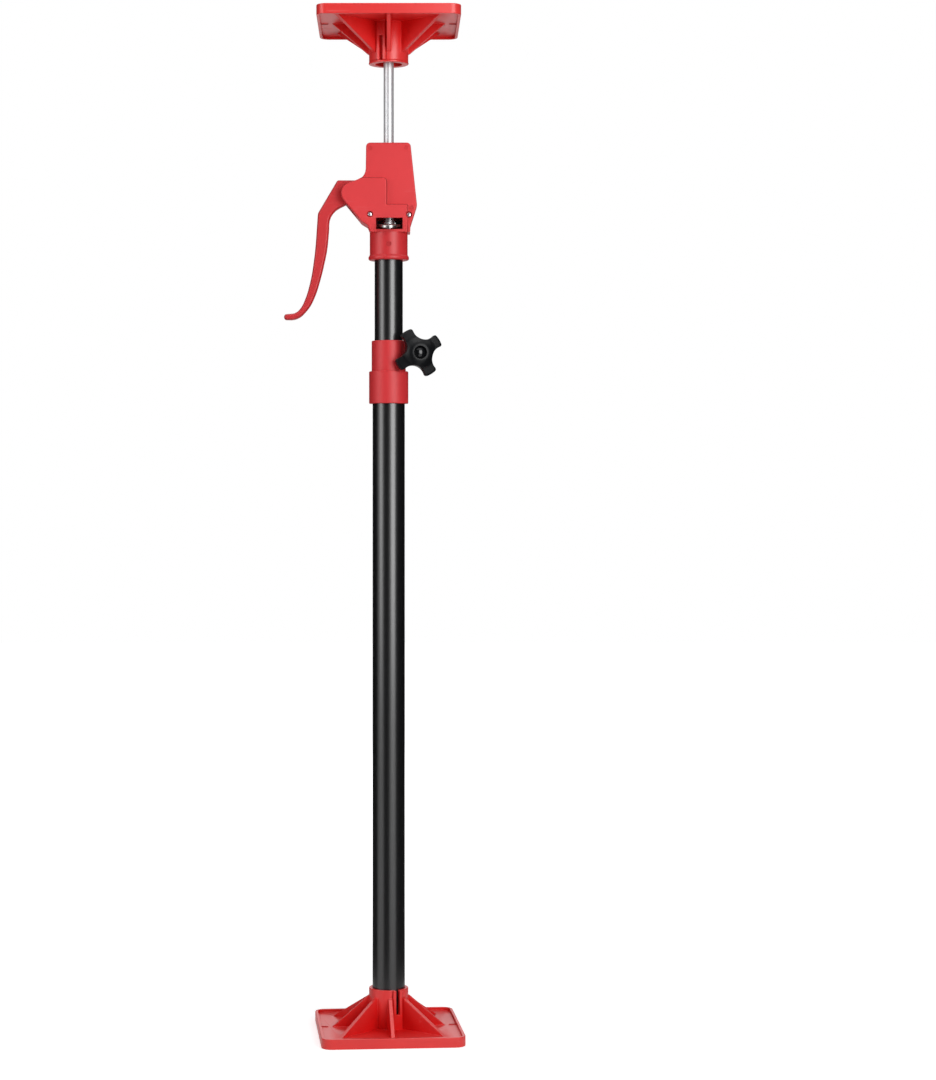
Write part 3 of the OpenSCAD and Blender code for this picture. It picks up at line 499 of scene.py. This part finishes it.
def lobed_outline():
    """Outline of the knob: four lobes with rounded corners, and a round hollow between each."""
    origin_far, hollow_far = KNOB_R - LOBE_ROUND, HOLLOW_R + LOBE_ROUND
    spread = acos((origin_far ** 2 + HOLLOW_OUT ** 2 - hollow_far ** 2)
                  / (2 * origin_far * HOLLOW_OUT))
    points = []
    for k in range(4):
        middle = LOBE_TURN + pi / 4 + k * pi / 2
        hollow = Vector((cos(middle), sin(middle))) * HOLLOW_OUT
        for side in (-1, 1):
            at = middle + side * spread
            corner = Vector((cos(at), sin(at))) * origin_far
            inward = hollow - corner
            start, end = at, atan2(inward.y, inward.x)
            sweep = (end - start + pi) % (2 * pi) - pi
            turn = [start + sweep * i / CORNER_STEPS for i in range(CORNER_STEPS + 1)]
            bend = [corner + Vector((cos(a), sin(a))) * LOBE_ROUND for a in turn]
            if side < 0:
                points += bend
                touch = corner - hollow
                first = atan2(touch.y, touch.x)
                other = Vector((cos(middle + spread), sin(middle + spread))) * origin_far - hollow
                last = atan2(other.y, other.x)
                swing = (last - first + pi) % (2 * pi) - pi
                turn = [first + swing * i / HOLLOW_STEPS for i in range(1, HOLLOW_STEPS)]
                points += [hollow + Vector((cos(a), sin(a))) * HOLLOW_R for a in turn]
            else:
                points += bend[::-1]
        outer_start = middle + spread
        outer_end = middle + pi / 2 - spread
        turn = [outer_start + (outer_end - outer_start) * i / LOBE_STEPS
                for i in range(1, LOBE_STEPS)]
        points += [Vector((cos(a), sin(a))) * KNOB_R for a in turn]
    return points


def crown(r):
    """Height of the knob's top over its base at a distance from the middle."""
    lobe = KNOB_RIM + LOBE_RISE * min((KNOB_R - r) / LOBE_RUN, LOBE_LIMIT)
    rise = min(1, max(0, (DOME_R - r) / DOME_RUN))
    return lobe + (KNOB_TOP - KNOB_BASE - lobe) * rise * rise * (3 - 2 * rise)


def bridge(work, loops):
    """Walls between loops of points, each loop as long as the next, closed at both ends."""
    rows = [[work.verts.new(p) for p in loop] for loop in loops]
    for low, high in zip(rows, rows[1:]):
        for i in range(len(low)):
            j = (i + 1) % len(low)
            work.faces.new((low[i], low[j], high[j], high[i]))
    work.faces.new(rows[0][::-1])
    work.faces.new(rows[-1])
    return rows


def ring(r, z, steps=48):
    """Points round the local axis at one radius and height."""
    turns = [2 * pi * i / steps for i in range(steps)]
    return [Vector((r * cos(turn), r * sin(turn), z)) for turn in turns]


work = bmesh.new()
outline = lobed_outline()
loops = []
for share, up in KNOB_UNDER:
    loops.append([Vector((p.x * share, p.y * share, KNOB_BASE + up)) for p in outline])
for i in range(EDGE_STEPS + 1):
    bend = pi / 2 * i / EDGE_STEPS
    share = 1 - KNOB_EDGE * (1 - cos(bend)) / KNOB_SPAN
    loops.append([Vector((p.x * share, p.y * share,
                          KNOB_BASE + crown(p.length * share) - KNOB_EDGE * (1 - sin(bend))))
                  for p in outline])
edge_share = 1 - KNOB_EDGE / KNOB_SPAN
for i in range(1, CROWN_STEPS + 1):
    inner = [(p * edge_share).lerp(p.normalized() * (CAP_R + CAP_LIP), i / CROWN_STEPS)
             for p in outline]
    loops.append([Vector((q.x, q.y, KNOB_BASE + crown(q.length))) for q in inner])
for out, down in CAP_SEAT:
    seat = [p.normalized() * (CAP_R + out) for p in outline]
    loops.append([Vector((q.x, q.y, KNOB_TOP - down)) for q in seat])
bridge(work, loops)
bridge(work, [ring(r, z) for r, z in BOSS])
work.transform(bolt_frame)
knob_black = moulded("knob_black", KNOB_BLACK, 0.33, 0.00003, specular=0.18, scuff=0.02)
settle(work, "knob_grip", "knob", knob_black, "clamp_knob")

cap_black = moulded("cap_black", KNOB_BLACK, 0.14, 0.00001, scuff=0.01)
work = bmesh.new()
bridge(work, [ring(max(r, POINT_R), KNOB_TOP - down) for r, down in CAP])
work.transform(bolt_frame)
settle(work, "knob_button", "knob", cap_black, "knob_cap")

# Bushes inside the tubes: natural white nylon, turned. They show only where a tube or the
# rod is drawn out, and are left unrounded.
NYLON = (0.78, 0.78, 0.74, 1)
nylon = moulded("nylon", NYLON, 0.45, 0.00001)
dress(["slide_bush", "rod_guide", "rod_bush"], nylon)

# Push rod and other steel: drawn bright steel with fine lines along the pole, zinc on the
# fasteners, and bare pressed plate for the release tab.
ROD_GREY = (0.70, 0.71, 0.725, 1)
ROD_METAL = 0.60
ZINC_GREY = (0.66, 0.67, 0.69, 1)
PLATE_GREY = (0.46, 0.455, 0.44, 1)
WIRE_GREY = (0.70, 0.70, 0.72, 1)
DRAWN_LINES = (1, 1, 0.02)
MOTTLE_SIZE = 12
MOTTLE_TONE = 0.08
STEEL_RANGE = 0.06
LINE_BUMP = 0.06
LINE_DEPTH = 0.00001
PLATE_EDGE = 0.0004


def steel(name, colour, shine, streak_size, metal=1.0):
    """Bare or plated steel with drawing lines along the pole and a faint mottle."""
    made = bpy.data.materials.new(name)
    made.use_nodes = True
    add, link = made.node_tree.nodes.new, made.node_tree.links.new
    shader = made.node_tree.nodes["Principled BSDF"]
    shader.inputs["Metallic"].default_value = metal
    place, stretch = add("ShaderNodeTexCoord"), add("ShaderNodeMapping")
    stretch.inputs["Scale"].default_value = DRAWN_LINES
    lines, mottle = add("ShaderNodeTexNoise"), add("ShaderNodeTexNoise")
    lines.inputs["Scale"].default_value = streak_size
    mottle.inputs["Scale"].default_value = streak_size / MOTTLE_SIZE
    mix, gloss, bump = add("ShaderNodeMix"), add("ShaderNodeMapRange"), add("ShaderNodeBump")
    mix.data_type = "RGBA"
    mix.inputs["A"].default_value = toned(colour, 1 - MOTTLE_TONE)
    mix.inputs["B"].default_value = toned(colour, 1 + MOTTLE_TONE)
    gloss.inputs["To Min"].default_value = shine - STEEL_RANGE
    gloss.inputs["To Max"].default_value = shine + STEEL_RANGE
    bump.inputs["Strength"].default_value = LINE_BUMP
    bump.inputs["Distance"].default_value = LINE_DEPTH
    link(place.outputs["Object"], stretch.inputs["Vector"])
    link(stretch.outputs["Vector"], lines.inputs["Vector"])
    link(place.outputs["Object"], mottle.inputs["Vector"])
    link(mottle.outputs["Fac"], mix.inputs["Factor"])
    link(mix.outputs["Result"], shader.inputs["Base Color"])
    link(lines.outputs["Fac"], gloss.inputs["Value"])
    link(gloss.outputs["Result"], shader.inputs["Roughness"])
    link(lines.outputs["Fac"], bump.inputs["Height"])
    link(bump.outputs["Normal"], shader.inputs["Normal"])
    return made


rod_steel = steel("rod_steel", ROD_GREY, 0.46, 2500, ROD_METAL)
zinc = steel("zinc", ZINC_GREY, 0.25, 900)
plate = steel("plate_steel", PLATE_GREY, 0.30, 1500)
wire = steel("wire", WIRE_GREY, 0.18, 1500)
soften("push_rod", 0)
soften("release_plate", PLATE_EDGE)
dress(["push_rod"], rod_steel)
dress(["clamp_bolt", "clamp_washer", "clamp_nut", "lever_pin"], zinc)
dress(["grip_plates", "release_plate"], plate)
dress(["rod_circlips"], wire)

# Cover screws: two zinc-plated pan heads with a cross recess, in their sinks in the front
# cover, each turned as its driver left it.
HEAD_R = 0.0027
HEAD_H = 0.0017
HEAD_RIM = 0.0003
HEAD_FOOT = ((0.97, 0.0), (1.0, HEAD_RIM))
HEAD_FULL = 2.4
HEAD_SIDES = 64
HEAD_RINGS = 26
SHANK_R = 0.0016
SHANK_ENDS = (-0.0225, 0.0)
CROSS_HALF = 0.00036
CROSS_WALL = (1.25, 0.5)
CROSS_REACH = 0.0015
CROSS_FADE = 0.0003
CROSS_DEEP = 0.0010
SCREW_Z = 0.809638
SCREWS = ((-0.018564, -0.0149, radians(20)), (0.019802, -0.0104, radians(65)))


def pan_head(work, x, seat, turn):
    """Domed screw head with its cross, and the shank behind it; local Z points to the front."""
    loops = [ring(SHANK_R, z, HEAD_SIDES) for z in SHANK_ENDS]
    loops += [ring(HEAD_R * share, z, HEAD_SIDES) for share, z in HEAD_FOOT]
    start, slope = (CROSS_HALF * share for share in CROSS_WALL)
    for k in range(HEAD_RINGS):
        r = HEAD_R * (1 - k / HEAD_RINGS)
        dome = HEAD_RIM + (HEAD_H - HEAD_RIM) * sqrt(max(0, 1 - (r / HEAD_R) ** HEAD_FULL))
        loop = ring(r, dome, HEAD_SIDES)
        for p in loop:
            low, high = sorted((abs(p.x), abs(p.y)))
            p.z -= (CROSS_DEEP * min(1, max(0, (start - low) / slope))
                    * min(1, max(0, (CROSS_REACH - high) / CROSS_FADE)))
        loops.append(loop)
    fresh = [v for row in bridge(work, loops) for v in row]
    placed = (Matrix.Translation((x, seat, SCREW_Z)) @ Matrix.Rotation(pi / 2, 4, "X")
              @ Matrix.Rotation(turn, 4, "Z"))
    bmesh.ops.transform(work, matrix=placed, verts=fresh)


work = bmesh.new()
for x, seat, turn in SCREWS:
    pan_head(work, x, seat, turn)
settle(work, "cover_screw_heads", "head", zinc, "cover_screws")

# Release spring and grip spring: bright round wire wound over the rod. The lower one presses
# the release plate down from the shelf, the upper one the grip plates from the head's roof.
SPRING_R = 0.006148
SPRING_WIRE = 0.0006
SPRING_Z = (0.802368, 0.811125)
SPRING_TURNS = 4.5
GRIP_SPRING_R = 0.008442
GRIP_WIRE = 0.0008
GRIP_SPRING_Z = (0.841903, 0.877300)
GRIP_TURNS = 7.5


def wound(radius, wire, low, high, turns, around=40, sides=12):
    """Round wire along a coil, closed at both ends."""
    work = bmesh.new()
    count = round(turns * around)
    path = [Vector((radius * cos(2 * pi * i / around), radius * sin(2 * pi * i / around),
                    low + (high - low) * i / count)) for i in range(count + 1)]
    loops = []
    for i, p in enumerate(path):
        along = (path[min(i + 1, count)] - path[max(i - 1, 0)]).normalized()
        out = Vector((p.x, p.y, 0)).normalized()
        side = along.cross(out).normalized()
        up = side.cross(along)
        loops.append([p + (up * cos(2 * pi * k / sides) + side * sin(2 * pi * k / sides)) * wire
                      for k in range(sides)])
    bridge(work, loops)
    return work


coil = settle(wound(SPRING_R, SPRING_WIRE, *SPRING_Z, SPRING_TURNS), "release_coil", "head",
              wire, "release_spring")
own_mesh(coil)
coil = settle(wound(GRIP_SPRING_R, GRIP_WIRE, *GRIP_SPRING_Z, GRIP_TURNS), "grip_coil", "head",
              wire, "grip_spring")
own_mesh(coil)

# Studio: a pale floor in one sheet, white to the camera and to reflections, with the pole's
# soft shadow round its foot, and a white room.
FLOOR_HALF = 6.0
GLOW_NEAR = 0.62
GLOSS_SHARE = 0.3
FADE = (0.25, 0.9)
PAPER = (0.80, 0.80, 0.80, 1)
WHITE = (1, 1, 1, 1)
ROOM_FILL = 0.14
sheet = bpy.data.meshes.new("floor")
sheet.from_pydata([(-FLOOR_HALF, -FLOOR_HALF, 0), (FLOOR_HALF, -FLOOR_HALF, 0),
                   (FLOOR_HALF, FLOOR_HALF, 0), (-FLOOR_HALF, FLOOR_HALF, 0)], [], [(0, 1, 2, 3)])
floor = bpy.data.objects.new("floor", sheet)
bpy.context.scene.collection.objects.link(floor)
paper = bpy.data.materials.new("paper")
paper.use_nodes = True
nodes, link = paper.node_tree.nodes, paper.node_tree.links.new
nodes.clear()
out, matt, glow, both = (nodes.new("ShaderNodeOutputMaterial"), nodes.new("ShaderNodeBsdfDiffuse"),
                         nodes.new("ShaderNodeEmission"), nodes.new("ShaderNodeAddShader"))
path, seen, share = (nodes.new("ShaderNodeLightPath"), nodes.new("ShaderNodeMath"),
                     nodes.new("ShaderNodeMath"))
place, away, fade = (nodes.new("ShaderNodeNewGeometry"), nodes.new("ShaderNodeVectorMath"),
                     nodes.new("ShaderNodeMapRange"))
matt.inputs["Color"].default_value = PAPER
seen.operation = "MULTIPLY_ADD"
seen.inputs[1].default_value = GLOSS_SHARE
share.operation = "MULTIPLY"
away.operation = "LENGTH"
fade.inputs["From Min"].default_value, fade.inputs["From Max"].default_value = FADE
fade.inputs["To Min"].default_value = GLOW_NEAR
fade.inputs["To Max"].default_value = 1.0
link(place.outputs["Position"], away.inputs[0])
link(away.outputs["Value"], fade.inputs["Value"])
link(path.outputs["Is Glossy Ray"], seen.inputs[0])
link(path.outputs["Is Camera Ray"], seen.inputs[2])
link(seen.outputs[0], share.inputs[0])
link(fade.outputs["Result"], share.inputs[1])
link(share.outputs[0], glow.inputs["Strength"])
link(matt.outputs[0], both.inputs[0])
link(glow.outputs[0], both.inputs[1])
link(both.outputs[0], out.inputs["Surface"])
sheet.materials.append(paper)

world = bpy.data.worlds.new("studio")
bpy.context.scene.world = world
world.use_nodes = True
nodes, link = world.node_tree.nodes, world.node_tree.links.new
nodes.clear()
out, fill, white = (nodes.new("ShaderNodeOutputWorld"), nodes.new("ShaderNodeBackground"),
                    nodes.new("ShaderNodeBackground"))
path, pick = nodes.new("ShaderNodeLightPath"), nodes.new("ShaderNodeMixShader")
seen, clear = nodes.new("ShaderNodeMath"), nodes.new("ShaderNodeMath")
seen.operation = clear.operation = "MAXIMUM"
fill.inputs["Color"].default_value = white.inputs["Color"].default_value = WHITE
fill.inputs["Strength"].default_value = ROOM_FILL
link(path.outputs["Is Camera Ray"], seen.inputs[0])
link(path.outputs["Is Glossy Ray"], seen.inputs[1])
link(seen.outputs[0], clear.inputs[0])
link(path.outputs["Is Transmission Ray"], clear.inputs[1])
link(clear.outputs[0], pick.inputs[0])
link(fill.outputs[0], pick.inputs[1])
link(white.outputs[0], pick.inputs[2])
link(pick.outputs[0], out.inputs["Surface"])

# Black cards out of the camera's view, which only the gloss sees: they darken the edges of the
# tubes and the rod as the dark ends of a studio do.
CARD_FOLDS = ((0.22, 0.003), (2.2, 0.003), (2.2, 2.2))
CARD_STEPS = 8
CARDS = ((-125, 82), (136, 62), (-15, 42), (79, 56))
CARD_BLACK = (0.004, 0.004, 0.004, 1)
card_black = bpy.data.materials.new("card_black")
card_black.use_nodes = True
shader = card_black.node_tree.nodes["Principled BSDF"]
shader.inputs["Base Color"].default_value = CARD_BLACK
shader.inputs["Roughness"].default_value = 1
for number, (bearing, width) in enumerate(CARDS):
    work = bmesh.new()
    turns = [radians(bearing + width * (i / CARD_STEPS - 0.5)) for i in range(CARD_STEPS + 1)]
    rows = [[work.verts.new((sin(at) * far, -cos(at) * far, up)) for at in turns]
            for far, up in CARD_FOLDS]
    for low, high in zip(rows, rows[1:]):
        for i in range(CARD_STEPS):
            work.faces.new((low[i], low[i + 1], high[i + 1], high[i]))
    data = bpy.data.meshes.new("card")
    work.to_mesh(data)
    work.free()
    data.materials.append(card_black)
    card = bpy.data.objects.new("card_%d" % number, data)
    bpy.context.scene.collection.objects.link(card)
    card.visible_camera = card.visible_diffuse = card.visible_shadow = False
    card.visible_transmission = False


def softbox(name, turn, distance, height, width, tall, power, aim_z):
    """Rectangular lamp at a bearing from the front, aimed at the pole's axis."""
    data = bpy.data.lights.new(name, "AREA")
    data.shape = "RECTANGLE"
    data.size, data.size_y, data.energy = width, tall, power
    lamp = bpy.data.objects.new(name, data)
    lamp.location = (sin(turn) * distance, -cos(turn) * distance, height)
    aim = Vector((0, 0, aim_z)) - lamp.location
    lamp.rotation_euler = aim.to_track_quat("-Z", "Y").to_euler()
    bpy.context.scene.collection.objects.link(lamp)
    return lamp


softbox("left_box", turn=radians(-56), distance=1.7, height=0.90, width=0.70, tall=1.3,
        power=8, aim_z=0.75)
softbox("right_box", turn=radians(31), distance=1.8, height=0.90, width=0.95, tall=1.3,
        power=20, aim_z=0.75)
softbox("top_box", turn=0, distance=0.5, height=2.3, width=1.2, tall=0.9, power=8, aim_z=0.9)
back = softbox("back_box", turn=radians(172), distance=2.4, height=1.30, width=1.60, tall=1.5,
               power=16, aim_z=0.60)
back.visible_camera = back.visible_glossy = False

# Camera: level with the middle of the pole, 2.4 m away, and shifted so that the pole stands
# where the photograph has its second one.
LENS = 80.9
SENSOR = 36
PHOTO_WIDE = 936
PHOTO_HIGH = 1080
POLE_X = 388.7
LEVEL_Y = 487.2
CAMERA_AT = (0, -2.406, 0.5408)
lens = bpy.data.cameras.new("camera")
camera = bpy.data.objects.new("camera", lens)
bpy.context.scene.collection.objects.link(camera)
lens.lens = LENS
lens.sensor_width = SENSOR
lens.shift_x = (PHOTO_WIDE / 2 - POLE_X) / PHOTO_HIGH
lens.shift_y = (LEVEL_Y - PHOTO_HIGH / 2) / PHOTO_HIGH
camera.location = CAMERA_AT
camera.rotation_euler = (radians(90), 0, 0)
bpy.context.scene.camera = camera
bpy.context.scene.view_settings.view_transform = "Standard"
